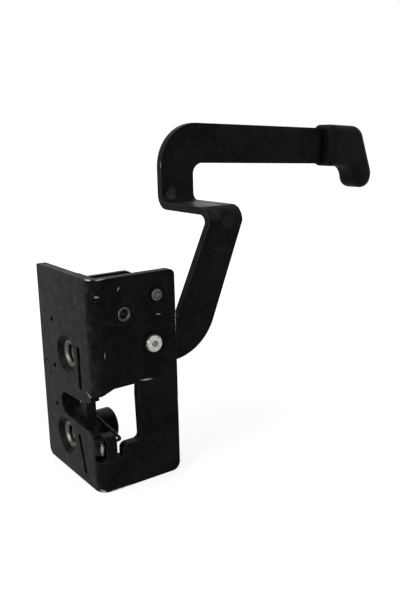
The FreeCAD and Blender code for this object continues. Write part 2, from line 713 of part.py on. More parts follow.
round_edges(grip_body, [(x, None, z) for x, z in (belly, neck, tip_under, tip_over, brow, crown)],
            "grip_corner", "GripCorners")
round_edges(grip_body, [(grip_start, None, grip_low), (grip_start, None, grip_top)],
            "grip_end_round", "GripEnd")
round_edges(grip_body, [
    (None, middle + " - grip_thick / 2", None), (None, middle + " + grip_thick / 2", None)],
    "grip_round", "GripRims")
grip = doc.addObject("Part::Cut", "handle_grip")
grip.Base = grip_body
grip.Tool = strap
grip.Label = "handle_grip"
doc.recompute()


class Wire:
    """Round wire, laid piece by piece from a place in a heading; each piece ends square to its line."""

    def __init__(self, place, heading, radius):
        self.place = place
        self.heading = V(heading).normalize()
        self.radius = radius
        self.pieces = []

    def end_face(self):
        return Part.Face(Part.Wire([Part.Circle(self.place, self.heading, self.radius).toShape()]))

    def straight(self, length):
        self.pieces.append(self.end_face().extrude(self.heading * length))
        self.place = self.place + self.heading * length

    def turn(self, heading, bend):
        """Bend round into a new heading."""
        heading = V(heading).normalize()
        angle = self.heading.getAngle(heading)
        axis = self.heading.cross(heading).normalize()
        centre = self.place + axis.cross(self.heading) * bend
        self.pieces.append(self.end_face().revolve(centre, axis, math.degrees(angle)))
        spun = FreeCAD.Rotation(axis, math.degrees(angle)).multVec(self.place - centre)
        self.place = centre + spun
        self.heading = heading


def torsion_spring(label, wire, mean, pitch, start, stop, hook_way, hook_run, arm_run, arm_drop, place):
    """Coil about its own Z between two angles in degrees: a hook at the start, a bent arm at the stop."""
    r = mean / 2
    bend = 1.1 * wire
    sense = 1 if stop > start else -1
    turns = abs(stop - start) / 360.0
    rise = pitch / math.tau

    def on_coil(angle):
        a = math.radians(angle)
        spot = V(r * math.cos(a), r * math.sin(a), pitch * abs(angle - start) / 360)
        return spot, V(-sense * r * math.sin(a), sense * r * math.cos(a), rise)

    helix = Part.makeHelix(pitch, pitch * turns, r, 0, sense < 0)
    circle = Part.Circle(V(r, 0, 0), V(0, sense * r, rise), wire / 2)
    coil = Part.Wire(helix.Edges).makePipeShell([Part.Wire([circle.toShape()])], True, True)
    coil.rotate(V(0, 0, 0), V(0, 0, 1), start)
    spot, way = on_coil(start)
    hook = Wire(spot, way * -1, wire / 2)
    hook.turn(hook_way, bend)
    hook.straight(hook_run)
    spot, way = on_coil(stop)
    arm = Wire(spot, way, wire / 2)
    arm.straight(arm_run)
    arm.turn(V(0, 0, -1), bend)
    arm.straight(arm_drop)
    made = doc.addObject("Part::Feature", label)
    made.Label = label
    made.Shape = coil.fuse(hook.pieces + arm.pieces)
    made.Placement = place
    return made


wire = val("spring_wire")
mean = val("spring_mean")
coil_start = val("lever_plane") + wire / 2 + 0.25
into_lever = val("sheet + play") + 0.4 - coil_start


def tangent_angle(target, radius, side):
    """Angle at which a tangent towards the target leaves the coil."""
    towards = math.atan2(target.y, target.x)
    return math.degrees(towards + side * math.acos(radius / math.hypot(target.x, target.y)))


def arm_length(target, radius):
    return math.sqrt(target.x ** 2 + target.y ** 2 - radius ** 2)


def hook_shift(radius, wire):
    """How far round the coil, in degrees, the bend of the hook reaches."""
    return math.degrees(math.atan(1.1 * wire / radius))


upright = FreeCAD.Rotation(V(1, 1, 1), 120)
tab_spot = V(val("sheet + tab_reach / 2 - lower_across"),
             val("tab_top - tab_thick - lower_level") - wire / 2 - 0.1, 0)
fork_spring = torsion_spring(
    "fork_spring", wire, mean, val("fork_spring_pitch"),
    -90 + hook_shift(mean / 2, wire), tangent_angle(tab_spot, mean / 2, -1) + 360,
    V(0, 0, -1), -into_lever - 1.1 * wire, arm_length(tab_spot, mean / 2) - 1.1 * wire, 3.5,
    FreeCAD.Placement(V(coil_start, val("lower_across"), val("lower_level")), upright))
hole_spot = V(val("gauge_across - upper_across"), val("gauge_high - upper_level"), 0)
pawl_spring = torsion_spring(
    "pawl_spring", wire, mean, val("pawl_spring_pitch"),
    90 + hook_shift(mean / 2, wire), tangent_angle(hole_spot, mean / 2, -1) + 720,
    V(0, 0, -1), -into_lever - 1.1 * wire, arm_length(hole_spot, mean / 2) - 1.1 * wire,
    val("lever_plane + 1.5"),
    FreeCAD.Placement(V(coil_start, val("upper_across"), val("upper_level")), upright))

wire = val("return_wire")
mean = val("return_mean")
pitch = val("return_pitch")
crotch_a = V(val("crotch_x"), val("crotch_z"), 0)
crotch_b = V(val(on_hub("55")[0]), val(on_hub("55")[1]), 0)
hook = arc_centre(crotch_a, crotch_b, -val("crotch_radius")) + V(0, wire / 2 + 0.1 - val("crotch_radius"), 0)
hook = hook - V(val("pivot_x"), val("pivot_z"), 0)
coil_back = val("bracket_near") - wire / 2 - 0.15
return_spring = torsion_spring(
    "return_spring", wire, mean, pitch, 0, tangent_angle(hook, mean / 2, 1) - 720,
    V(0, 1, 0.02), val("post_z - pivot_z") + 1.5, arm_length(hook, mean / 2) - 1.1 * wire,
    val("strap_thick") - 1.5 * wire,
    FreeCAD.Placement(V(val("pivot_x"), coil_back, val("pivot_z")), FreeCAD.Rotation(V(1, 0, 0), 90)))


def check(nodes):
    failed = [o.Name for o in doc.Objects if {"Invalid", "Error"} & set(o.State)]
    for node in nodes:
        if node.Shape.isNull() or not node.Shape.isValid():
            failed.append(node.Label)
    if failed:
        raise RuntimeError("failed: " + ", ".join(failed))


nodes = [lock_plate, bracket] + bushes + spacers + [
    fork, pawl, fork_spring, pawl_spring, tube_rivet, tube_spacer, post_rivet, post_spacer,
    pivot_pin, thrust_washer, spring_collar, return_spring, strap, drive_stud, grip]
doc.recompute()
check(nodes)
os.makedirs("parts", exist_ok=True)
for node in nodes:
    node.Shape.exportStep("parts/%s.step" % node.Label)
    print(node.Label, len(node.Shape.Solids), round(node.Shape.Volume, 1))
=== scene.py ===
import math
from typing import NamedTuple

import bmesh
import bpy
from mathutils import Matrix, Vector


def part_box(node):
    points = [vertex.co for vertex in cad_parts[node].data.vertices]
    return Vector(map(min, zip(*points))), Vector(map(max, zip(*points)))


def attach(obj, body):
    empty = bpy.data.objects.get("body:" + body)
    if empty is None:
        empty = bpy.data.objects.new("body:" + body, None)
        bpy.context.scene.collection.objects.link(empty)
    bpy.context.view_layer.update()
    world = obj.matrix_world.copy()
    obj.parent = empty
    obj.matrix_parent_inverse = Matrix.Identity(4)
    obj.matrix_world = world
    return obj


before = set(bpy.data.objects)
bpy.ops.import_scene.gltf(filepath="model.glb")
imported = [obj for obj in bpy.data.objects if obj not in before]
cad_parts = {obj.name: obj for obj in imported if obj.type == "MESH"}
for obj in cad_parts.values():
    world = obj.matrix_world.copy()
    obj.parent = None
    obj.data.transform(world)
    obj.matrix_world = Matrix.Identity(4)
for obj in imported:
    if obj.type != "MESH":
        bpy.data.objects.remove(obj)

bl_info = {
    "name": "Door latch finishes",
    "version": (1, 0, 0),
    "blender": (4, 5, 0),
    "location": "3D View > Sidebar > Door latch",
    "description": "Finishes, screw threads, light and camera for a door latch with a pull lever",
    "category": "Object",
}

MILLIMETRE = 0.001

# Sizes of the patterns in the finishes, in metres
PAINT_CLOUD = 0.014
DUST_FILM = 0.0045
DUST_SPECK = 0.0006
EDGE_CHIP = 0.0016
PLATING_STAIN = 0.0012
PLATING_SCRATCH = 0.0004
RIVET_WEAR = 0.0009
RIVET_SCRATCH = 0.0005
GROOVE_DIRT = 0.0011
BUSH_STAIN = 0.0015
GRIP_CLOUD = 0.012
GRIP_GRAIN = 0.0004
GRIP_EDGE = 0.0004

# The front plate's face lies at X = 0. Its thicker dust film, which also paints that lit face lighter than
# the side plate, ends this far behind it, in metres
FACING_DEPTH = 0.0016

# Length of a bush's bare mouth and half the width of the blend at its end, in metres
BUSH_MOUTH = 0.0015
MOUTH_BLEND = 0.0004

# How deep a thread's foot sits in the bore's wall, and the floor's drop under the part, in metres
THREAD_SEAT = 0.00003
FLOOR_DROP = 0.0003

# Share of the paint's edge rounding that plated steel has, and of the lever paint's brightness that grime has
PLATED_EDGE = 0.6
GRIME_SHARE = 0.7

THREAD_STEPS = 28
SENSOR_MM = 36.0


class Spot(NamedTuple):
    """A spot for wear, painted sheen and painted shade: an ellipsoid with a frayed rim, in millimetres and
    degrees
    """
    centre: tuple
    reach: tuple
    fray: float
    grain: float = 1.2
    turn: tuple = (0.0, 0.0, 0.0)
    strength: float = 1.0


class RivetEnd(NamedTuple):
    """Turned end of a rivet or pin: its brightness, and its grooves' radii and widths in millimetres"""
    brightness: float
    grooves: tuple


PLATE_WEAR = [
    # Top edges beside the fold, and a chip on the fold below them
    Spot((0.6, 2.2, 80.0), (0.9, 2.4, 0.4), fray=1.2, grain=0.6),
    Spot((3.6, 0.2, 80.0), (3.4, 0.4, 0.35), fray=1.2, grain=0.6),
    Spot((2.4, 0.3, 73.9), (1.0, 0.6, 0.4), fray=2.4, grain=0.5),
    # Upper lips of the striker slot and of the window
    Spot((0.0, 4.2, 36.6), (0.7, 4.2, 0.32), fray=1.0, grain=0.6, turn=(18.0, 0.0, 0.0)),
    Spot((3.6, 0.0, 37.7), (2.6, 0.4, 0.35), fray=1.1, grain=0.6, turn=(0.0, -32.0, 0.0)),
    # The tongue, and the bright line along it
    Spot((1.5, 0.8, 17.2), (0.85, 0.7, 2.4), fray=1.5, grain=0.7),
    Spot((2.9, 1.2, 17.8), (0.12, 1.2, 1.3), fray=0.9, grain=0.5),
    # Scratches and scuffs on the side plate
    Spot((11.1, 0.0, 75.6), (0.2, 0.8, 1.1), fray=1.1, grain=0.5, turn=(0.0, 22.0, 0.0)),
    Spot((4.4, 0.0, 52.6), (0.13, 0.8, 1.5), fray=1.1, grain=0.5),
    Spot((27.2, 0.0, 63.9), (1.0, 0.6, 0.2), fray=2.8, grain=0.4, turn=(0.0, 8.0, 0.0)),
    Spot((21.0, 0.0, 40.0), (2.2, 0.6, 0.35), fray=3.4, grain=0.4, turn=(0.0, 6.0, 0.0)),
    # Rear edge, lower edge, and the corner under the fold
    Spot((34.6, 0.2, 60.0), (0.3, 0.5, 6.0), fray=2.4, grain=0.7),
    Spot((34.6, 0.2, 28.0), (0.3, 0.5, 8.0), fray=2.6, grain=0.7),
    Spot((8.0, 0.0, 0.0), (5.0, 0.5, 0.4), fray=2.6, grain=0.7),
    Spot((1.4, 1.4, 0.4), (1.4, 1.4, 0.6), fray=2.2, grain=0.7),
]

# Spots of painted shade: the plate's paint is darkened where shade falls
PLATE_SHADE = [
    # Painted shade in the notch under the tongue, in the slit beside it, and in the flared mouth of the
    # striker slot
    Spot((1.2, 2.4, 13.1), (3.4, 3.0, 1.6), fray=0.2),
    Spot((2.9, 2.0, 17.0), (0.42, 2.6, 4.2), fray=0.2),
    Spot((1.2, 13.0, 27.6), (1.6, 16.0, 4.4), fray=0.2),
    # Painted shade in the dished seats round the pivot pin's end and the post rivet's end
    Spot((24.9, 0.0, 53.1), (6.6, 0.9, 6.6), fray=0.15),
    Spot((26.8, 0.0, 71.2), (4.5, 0.9, 4.5), fray=0.15),
]

# Spots of painted sheen and highlight on the lever, drawn as faint patches of bare steel
LEVER_SHEEN = [
    # Painted sheen on the lower leg, just under the crank
    Spot((57.5, 5.5, 97.0), (4.0, 3.5, 2.6), fray=1.0, grain=2.2, strength=0.035),
    Spot((62.5, 4.5, 94.0), (3.6, 2.5, 3.0), fray=1.0, grain=2.2, strength=0.045),
    # Painted sheen at the foot of the upper leg, and a painted highlight along its left edge
    Spot((58.6, 37.2, 103.4), (2.8, 1.4, 3.4), fray=0.8, grain=3.0, turn=(0.0, 25.0, 0.0), strength=0.10),
    Spot((53.8, 37.2, 116.0), (0.3, 0.6, 3.0), fray=1.2, grain=0.7, strength=0.6),
    # Painted sheen on top of the ledge between the two legs
    Spot((62.0, 20.0, 100.1), (6.0, 12.0, 0.3), fray=1.6, grain=1.6, strength=0.10),
]

RIVET_ENDS = {
    "tubular_rivet": RivetEnd(1.0, ((2.1, 0.4), (3.9, 0.5))),
    "post_rivet": RivetEnd(0.8, ((1.2, 0.4), (2.5, 0.4))),
    "pivot_pin": RivetEnd(4.2, ((0.9, 0.5), (3.4, 0.4))),
}


class LatchColours(bpy.types.PropertyGroup):
    """Colours of the latch's finishes"""
    paint: bpy.props.FloatVectorProperty(
        name="Plate paint", description="Black paint on the folded plate", subtype="COLOR",
        size=3, min=0, max=1, default=(0.0030, 0.0032, 0.0027))
    lever_paint: bpy.props.FloatVectorProperty(
        name="Lever paint", description="Black paint on the pull lever", subtype="COLOR",
        size=3, min=0, max=1, default=(0.0022, 0.0023, 0.0021))
    grip: bpy.props.FloatVectorProperty(
        name="Grip", description="Moulded plastic of the grip", subtype="COLOR",
        size=3, min=0, max=1, default=(0.0030, 0.0031, 0.0031))
    # Also the colour of the painted sheen spots on the lever
    bare_steel: bpy.props.FloatVectorProperty(
        name="Bare steel", description="Steel where the paint has worn away", subtype="COLOR",
        size=3, min=0, max=1, default=(0.27, 0.27, 0.255))
    rivet_steel: bpy.props.FloatVectorProperty(
        name="Rivet steel", description="Dull plated steel of rivets and bushes", subtype="COLOR",
        size=3, min=0, max=1, default=(0.115, 0.115, 0.108))
    # Also the colour of the painted highlight along painted edges and of the painted lightening of the front
    # plate's lit face
    dust: bpy.props.FloatVectorProperty(
        name="Dust", description="Dust and scuffs that lie on the paint", subtype="COLOR",
        size=3, min=0, max=1, default=(0.11, 0.11, 0.10))


class LatchSizes(bpy.types.PropertyGroup):
    """Sizes of the pieces and patterns that this file adds"""
    thread_radius: bpy.props.FloatProperty(
        name="Thread radius", description="Radius of the bore that carries the screw thread",
        subtype="DISTANCE", unit="LENGTH", default=0.0034)
    thread_depth: bpy.props.FloatProperty(
        name="Thread depth", description="Height of the thread's crest above the bore",
        subtype="DISTANCE", unit="LENGTH", default=0.00042)
    thread_pitch: bpy.props.FloatProperty(
        name="Thread pitch", description="Distance from one thread crest to the next",
        subtype="DISTANCE", unit="LENGTH", default=0.00125)
    thread_turns: bpy.props.IntProperty(
        name="Thread turns", description="Number of turns in each bush", min=1, default=12)
    edge_break: bpy.props.FloatProperty(
        name="Edge break", description="Radius that the paint rounds off on sharp sheet edges",
        subtype="DISTANCE", unit="LENGTH", default=0.00035)
    paint_grain: bpy.props.FloatProperty(
        name="Paint grain", description="Size of the fine texture in the paint",
        subtype="DISTANCE", unit="LENGTH", default=0.0005)


class LatchStage(bpy.types.PropertyGroup):
    """Floor, lamps and camera"""
    floor_size: bpy.props.FloatProperty(
        name="Floor size", description="Side of the square floor",
        subtype="DISTANCE", unit="LENGTH", default=6.0)
    key_power: bpy.props.FloatProperty(
        name="Key power", description="Power of the soft box that faces the front plate",
        subtype="POWER", unit="POWER", default=6.0)
    top_power: bpy.props.FloatProperty(
        name="Top power", description="Power of the soft box above",
        subtype="POWER", unit="POWER", default=3.0)
    fill_power: bpy.props.FloatProperty(
        name="Fill power", description="Power of the soft box that faces the side plate",
        subtype="POWER", unit="POWER", default=1.2)
    ambient: bpy.props.FloatProperty(
        name="Ambient", description="Level of the even light all round", min=0, default=0.30)
    eye: bpy.props.FloatVectorProperty(
        name="Camera place", description="Where the camera stands", subtype="XYZ", unit="LENGTH",
        size=3, default=(-0.10515, -0.21448, 0.13001))
    azimuth: bpy.props.FloatProperty(
        name="Azimuth", description="Side that the camera looks from", subtype="ANGLE", unit="ROTATION",
        default=math.radians(-35.155))
    elevation: bpy.props.FloatProperty(
        name="Elevation", description="Height angle of the camera", subtype="ANGLE", unit="ROTATION",
        default=math.radians(13.663))
    roll: bpy.props.FloatProperty(
        name="Roll", description="Tilt of the picture", subtype="ANGLE", unit="ROTATION",
        default=math.radians(-1.276))
    focal_share: bpy.props.FloatProperty(
        name="Focal share", description="Focal length over the picture's height", default=1.18317)


def scaled(colour, share):
    """A lighter or darker version of a colour"""
    return [min(1.0, c * share) for c in colour]


class Finish:
    """A material under construction, with short calls for the nodes that its patterns need"""

    def __init__(self, name):
        self.material = bpy.data.materials.new(name)
        self.material.use_nodes = True
        self.nodes = self.material.node_tree.nodes
        self.links = self.material.node_tree.links
        self.shader = self.nodes["Principled BSDF"]
        self.place = self.nodes.new("ShaderNodeTexCoord").outputs["Object"]

    def node(self, kind, **settings):
        made = self.nodes.new(kind)
        for key, value in settings.items():
            setattr(made, key, value)
        return made

    def feed(self, socket, value):
        """Link a socket to another node's output, or set it to a constant"""
        if isinstance(value, bpy.types.NodeSocket):
            self.links.new(value, socket)
        else:
            socket.default_value = value

    def give(self, name, value):
        """Feed one of the shader's own inputs"""
        self.feed(self.shader.inputs[name], value)

    def math(self, operation, a, b=0.0, clamp=False):
        made = self.node("ShaderNodeMath", operation=operation, use_clamp=clamp)
        self.feed(made.inputs[0], a)
        self.feed(made.inputs[1], b)
        return made.outputs[0]

    def times(self, a, b):
        return self.math("MULTIPLY", a, b)

    def vector(self, operation, a, b=None):
        """Vector sum; b is a constant, another node's output or nothing"""
        made = self.node("ShaderNodeVectorMath", operation=operation)
        self.feed(made.inputs[0], a)
        if b is not None:
            self.feed(made.inputs[1], b)
        return made.outputs

    def station(self):
        """Place along X"""
        apart = self.node("ShaderNodeSeparateXYZ")
        self.links.new(self.place, apart.inputs["Vector"])
        return apart.outputs["X"]

    def noise(self, size, detail=2.0, rough=0.55):
        """Noise whose features are about as large as size, in metres"""
        made = self.node("ShaderNodeTexNoise")
        self.links.new(self.place, made.inputs["Vector"])
        made.inputs["Scale"].default_value = 1.0 / size
        made.inputs["Detail"].default_value = detail
        made.inputs["Roughness"].default_value = rough
        return made.outputs["Fac"]

    def span(self, value, low, high, out_low=0.0, out_high=1.0):
        """Smooth step from out_low to out_high while value goes from low to high"""
        made = self.node("ShaderNodeMapRange", interpolation_type="SMOOTHSTEP")
        self.feed(made.inputs["Value"], value)
        made.inputs["From Min"].default_value = low
        made.inputs["From Max"].default_value = high
        made.inputs["To Min"].default_value = out_low
        made.inputs["To Max"].default_value = out_high
        return made.outputs["Result"]

    def blend(self, mask, a, b):
        """Colour a where the mask is 0, and b where it is 1"""
        made = self.node("ShaderNodeMix", data_type="RGBA")
        self.feed(made.inputs[0], mask)
        for socket, value in ((made.inputs[6], a), (made.inputs[7], b)):
            self.feed(socket, value if isinstance(value, bpy.types.NodeSocket) else (*value, 1.0))
        return made.outputs[2]

    def most(self, masks):
        """The highest of some masks"""
        total = masks[0]
        for mask in masks[1:]:
            total = self.math("MAXIMUM", total, mask)
        return total

    def spots(self, spots):
        """Masks of spots of wear, of painted sheen and of painted shade"""
        masks = []
        for spot in spots:
            mapping = self.node("ShaderNodeMapping", vector_type="TEXTURE")
            mapping.inputs["Location"].default_value = [c * MILLIMETRE for c in spot.centre]
            mapping.inputs["Rotation"].default_value = [math.radians(t) for t in spot.turn]
            mapping.inputs["Scale"].default_value = [r * MILLIMETRE for r in spot.reach]
            self.links.new(self.place, mapping.inputs["Vector"])
            away = self.vector("LENGTH", mapping.outputs["Vector"])["Value"]
            ruffle = self.math("SUBTRACT", self.noise(spot.grain * MILLIMETRE, detail=6.0, rough=0.8), 0.5)
            rim = self.math("ADD", away, self.times(ruffle, 2.0 * spot.fray))
            masks.append(self.span(rim, 1.0, 0.6, 0.0, spot.strength))
        return masks

    def rounded(self, radius):
        """Normal that rounds off the sharp edges"""
        bevel = self.node("ShaderNodeBevel", samples=6)
        bevel.inputs["Radius"].default_value = radius
        return bevel.outputs["Normal"]

    def edges(self, rounded):
        """Mask of the sharp edges, where the rounded normal leaves the true one"""
        geometry = self.node("ShaderNodeNewGeometry")
        agreement = self.vector("DOT_PRODUCT", rounded, geometry.outputs["True Normal"])["Value"]
        return self.span(agreement, 0.985, 0.80)

    def bump(self, height, strength, distance, normal):
        made = self.node("ShaderNodeBump")
        made.inputs["Strength"].default_value = strength
        made.inputs["Distance"].default_value = distance
        self.feed(made.inputs["Height"], height)
        self.links.new(normal, made.inputs["Normal"])
        return made.outputs["Normal"]


def painted_steel(name, paint, colours, sizes, worn=(), shade_spots=(),
                  worn_edge=0.60, specks=0.685, gloss=0.025, edge_highlight=0.35):
    """Black satin paint on steel with dust, chipped edges, worn spots, painted sheen, painted edge highlights
    and painted shade in recesses

    The higher worn_edge and specks are, the fewer chips and dust specks there are. gloss is the specular
    level, and edge_highlight is how strongly the edges take the dust's colour as a painted highlight.
    worn takes spots of wear, and on the lever spots of painted sheen; shade_spots takes spots of painted
    shade.
    """
    finish = Finish(name)
    rounded = finish.rounded(sizes.edge_break)
    edge = finish.edges(rounded)
    cloud = finish.noise(PAINT_CLOUD, detail=5.0, rough=0.6)
    colour = finish.blend(finish.span(cloud, 0.35, 0.7), paint, scaled(paint, 2.6))

    speckle = finish.span(finish.noise(DUST_SPECK, detail=1.0), specks, specks + 0.06)
    # Dust film, thicker on the front face near X = 0: dust, and also painted light that makes this lit face
    # lighter and more mottled than the side plate
    lit_face_share = finish.span(finish.station(), FACING_DEPTH, 0.0, 0.10, 0.26)
    film = finish.times(finish.span(finish.noise(DUST_FILM, detail=7.0, rough=0.8), 0.44, 0.76), lit_face_share)
    dusty = finish.math("MAXIMUM", finish.times(speckle, 0.45), film)
    colour = finish.blend(dusty, colour, colours.dust)
    # Painted highlight: a lighter line of the dust's colour along all sharp edges
    colour = finish.blend(finish.times(edge, edge_highlight), colour, colours.dust)

    frayed = finish.span(finish.noise(EDGE_CHIP, detail=5.0, rough=0.75), worn_edge, worn_edge + 0.1)
    chipped = finish.times(finish.times(edge, frayed), 0.6)
    # Chips and worn spots bare the steel; on the lever these spots are painted sheen and highlight
    bared_and_sheen = finish.most([chipped] + finish.spots(worn))
    colour = finish.blend(bared_and_sheen, colour, colours.bare_steel)
    shiny = bared_and_sheen
    # Painted shade: grime here is the mask of the shade spots, which darken the paint and take away its metal
    if shade_spots:
        grime = finish.most(finish.spots(shade_spots))
        colour = finish.blend(grime, colour, scaled(paint, 0.2))
        shiny = finish.math("SUBTRACT", bared_and_sheen, grime, clamp=True)

    satin = finish.span(cloud, 0.3, 0.75, 0.30, 0.46)
    grain = finish.times(finish.noise(sizes.paint_grain), 0.5)
    height = finish.math("SUBTRACT", grain, finish.times(bared_and_sheen, 0.6))
    finish.give("Base Color", colour)
    finish.give("Metallic", finish.times(shiny, 0.85))
    finish.give("Roughness", finish.math("ADD", satin, finish.times(dusty, 0.3)))
    finish.give("Specular IOR Level", gloss)
    finish.give("Normal", finish.bump(height, strength=0.25, distance=0.00006, normal=rounded))
    return finish.material


def plain_steel(name, steel, dark, sizes, rough, grime, metal=0.95):
    """Dull plated steel with stains and grime in patches, more of them the higher grime is"""
    finish = Finish(name)
    rounded = finish.rounded(sizes.edge_break * PLATED_EDGE)
    clean = finish.span(finish.noise(PLATING_STAIN, detail=5.0, rough=0.65), grime - 0.2, grime + 0.16)
    colour = finish.blend(clean, dark, steel)
    colour = finish.blend(finish.times(finish.edges(rounded), 0.4), colour, scaled(steel, 1.5))
    finish.give("Base Color", colour)
    finish.give("Metallic", finish.span(clean, 0.0, 1.0, 0.5 * metal, metal))
    finish.give("Roughness", finish.span(clean, 0.0, 1.0, rough + 0.2, rough))
    finish.give("Specular IOR Level", 0.1)
    scratches = finish.noise(PLATING_SCRATCH, rough=0.5)
    finish.give("Normal", finish.bump(scratches, strength=0.25, distance=0.00004, normal=rounded))
    return finish.material


def ringed_steel(name, end, centre, colours, sizes):
    """Turned end of a rivet or pin, with grooves round its axis, which runs along Y through centre"""
    steel = scaled(colours.rivet_steel, end.brightness)
    finish = Finish(name)
    rounded = finish.rounded(sizes.edge_break * PLATED_EDGE)
    worn = finish.span(finish.noise(RIVET_WEAR, detail=5.0, rough=0.7), 0.25, 0.6)
    colour = finish.blend(worn, scaled(steel, 0.45), steel)

    shifted = finish.vector("SUBTRACT", finish.place, centre)["Vector"]
    across = finish.vector("MULTIPLY", shifted, (1.0, 0.0, 1.0))["Vector"]
    reach = finish.vector("LENGTH", across)["Value"]
    dips = []
    for radius, width in end.grooves:
        gap = finish.math("ABSOLUTE", finish.math("SUBTRACT", reach, radius * MILLIMETRE))
        dips.append(finish.span(gap, width * MILLIMETRE, width * MILLIMETRE * 0.3))
    filled = finish.span(finish.noise(GROOVE_DIRT, detail=3.0), 0.25, 0.6, 0.35, 0.95)
    groove = finish.times(finish.most(dips), filled)

    height = finish.math("SUBTRACT", finish.times(finish.noise(RIVET_SCRATCH), 0.5), groove)
    finish.give("Base Color", finish.blend(groove, colour, scaled(colours.lever_paint, GRIME_SHARE)))
    finish.give("Metallic", finish.span(groove, 0.0, 1.0, 0.95, 0.3))
    finish.give("Roughness", finish.span(worn, 0.0, 1.0, 0.50, 0.36))
    finish.give("Normal", finish.bump(height, strength=0.5, distance=0.00008, normal=rounded))
    return finish.material


def bush_steel(name, mouth_end, colours, sizes):
    """Plated steel at the threaded mouth, dark and smooth from the station mouth_end along X onwards"""
    dark = scaled(colours.lever_paint, GRIME_SHARE)
    finish = Finish(name)
    rounded = finish.rounded(sizes.edge_break * PLATED_EDGE)
    behind = finish.span(finish.station(), mouth_end - MOUTH_BLEND, mouth_end + MOUTH_BLEND)
    stain = finish.span(finish.noise(BUSH_STAIN, detail=4.0, rough=0.65), 0.3, 0.65)
    mouth = finish.blend(stain, scaled(colours.rivet_steel, 0.5), colours.rivet_steel)
    body = finish.blend(stain, dark, scaled(dark, 1.8))
    finish.give("Base Color", finish.blend(behind, mouth, body))
    finish.give("Metallic", finish.span(behind, 0.0, 1.0, 0.9, 0.0))
    finish.give("Roughness", finish.span(stain, 0.0, 1.0, 0.44, 0.36))
    finish.give("Specular IOR Level", 0.08)
    grain = finish.noise(sizes.paint_grain)
    finish.give("Normal", finish.bump(grain, strength=0.2, distance=0.00005, normal=rounded))
    return finish.material


def grip_plastic(name, colours):
    """Matt moulded plastic with a fine grain and a little dust"""
    finish = Finish(name)
    cloud = finish.noise(GRIP_CLOUD, detail=4.0)
    colour = finish.blend(finish.span(cloud, 0.4, 0.7), colours.grip, scaled(colours.grip, 1.6))
    dusty = finish.times(finish.span(finish.noise(DUST_SPECK, detail=1.0), 0.72, 0.78), 0.3)
    finish.give("Base Color", finish.blend(dusty, colour, colours.dust))
    finish.give("Roughness", finish.span(cloud, 0.3, 0.7, 0.5, 0.62))
    finish.give("Specular IOR Level", 0.05)
    rounded = finish.rounded(GRIP_EDGE)
    grain = finish.noise(GRIP_GRAIN)
    finish.give("Normal", finish.bump(grain, strength=0.3, distance=0.00008, normal=rounded))
    return finish.material


def spoken(node):
    """A node's name in plain words"""
    return node.replace("_", " ").capitalize()


def wear(node, material):
    """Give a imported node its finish"""
    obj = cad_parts[node]
    if not obj.material_slots:
        obj.data.materials.append(material)
    for slot in obj.material_slots:
        slot.material = material


class LATCH_OT_lock_plate(bpy.types.Operator):
    """Paint, dust and wear of the folded lock plate and the bracket behind it, with painted shade in the
    plate's recesses and seats and a painted highlight along the edges of both
    """
    bl_idname = "latch.lock_plate"
    bl_label = "Lock plate"

    def execute(self, context):
        colours = context.scene.latch_colours
        sizes = context.scene.latch_sizes
        plate = painted_steel("Plate paint", colours.paint, colours, sizes, PLATE_WEAR, PLATE_SHADE)
        bracket = painted_steel("Bracket paint", colours.lever_paint, colours, sizes,
                                worn_edge=0.66, specks=0.74)
        wear("lock_plate", plate)
        wear("inner_bracket", bracket)
        return {"FINISHED"}


class LATCH_OT_lever(bpy.types.Operator):
    """Paint of the cranked pull lever, with painted sheen on its bends and ledge and a painted highlight
    along its edges
    """
    bl_idname = "latch.lever"
    bl_label = "Pull lever"

    def execute(self, context):
        colours = context.scene.latch_colours
        sizes = context.scene.latch_sizes
        paint = painted_steel("Lever paint", colours.lever_paint, colours, sizes, LEVER_SHEEN,
                              worn_edge=0.64, specks=0.72, gloss=0.035, edge_highlight=0.6)
        wear("handle_strap", paint)
        return {"FINISHED"}


class LATCH_OT_grip(bpy.types.Operator):
    """Moulded plastic of the grip"""
    bl_idname = "latch.grip"
    bl_label = "Grip"

    def execute(self, context):
        wear("handle_grip", grip_plastic("Grip plastic", context.scene.latch_colours))
        return {"FINISHED"}


class LATCH_OT_levers_inside(bpy.types.Operator):
    """Dark phosphated steel of the fork and the pawl"""
    bl_idname = "latch.levers_inside"
    bl_label = "Fork and pawl"

    def execute(self, context):
        colours = context.scene.latch_colours
        sizes = context.scene.latch_sizes
        for node in ("fork", "pawl"):
            steel = plain_steel(spoken(node) + " steel", scaled(colours.rivet_steel, 0.10),
                                colours.lever_paint, sizes, rough=0.40, grime=0.56, metal=0.4)
            wear(node, steel)
        return {"FINISHED"}


class LATCH_OT_hardware(bpy.types.Operator):
    """Plated steel of the bushes, rivets, spacers, washers, stud and springs"""
    bl_idname = "latch.hardware"
    bl_label = "Bushes, rivets and springs"

    def execute(self, context):
        colours = context.scene.latch_colours
        sizes = context.scene.latch_sizes
        dull = plain_steel("Dull plating", scaled(colours.rivet_steel, 0.35), colours.paint, sizes,
                           rough=0.42, grime=0.55)
        for node in ("tube_spacer", "post_spacer", "thrust_washer", "spring_collar", "drive_stud",
                     "fork_spacer", "pawl_spacer"):
            wear(node, dull)
        for node, end in RIVET_ENDS.items():
            low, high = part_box(node)
            centre = ((low[0] + high[0]) / 2, 0.0, (low[2] + high[2]) / 2)
            wear(node, ringed_steel(spoken(node) + " end", end, centre, colours, sizes))
        for node in ("lower_bush", "upper_bush"):
            low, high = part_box(node)
            wear(node, bush_steel(spoken(node) + " steel", low[0] + BUSH_MOUTH, colours, sizes))
        wire = plain_steel("Spring wire", scaled(colours.rivet_steel, 0.08),
                           scaled(colours.lever_paint, GRIME_SHARE), sizes, rough=0.4, grime=0.5, metal=0.4)
        for node in ("fork_spring", "pawl_spring", "return_spring"):
            wear(node, wire)
        return {"FINISHED"}


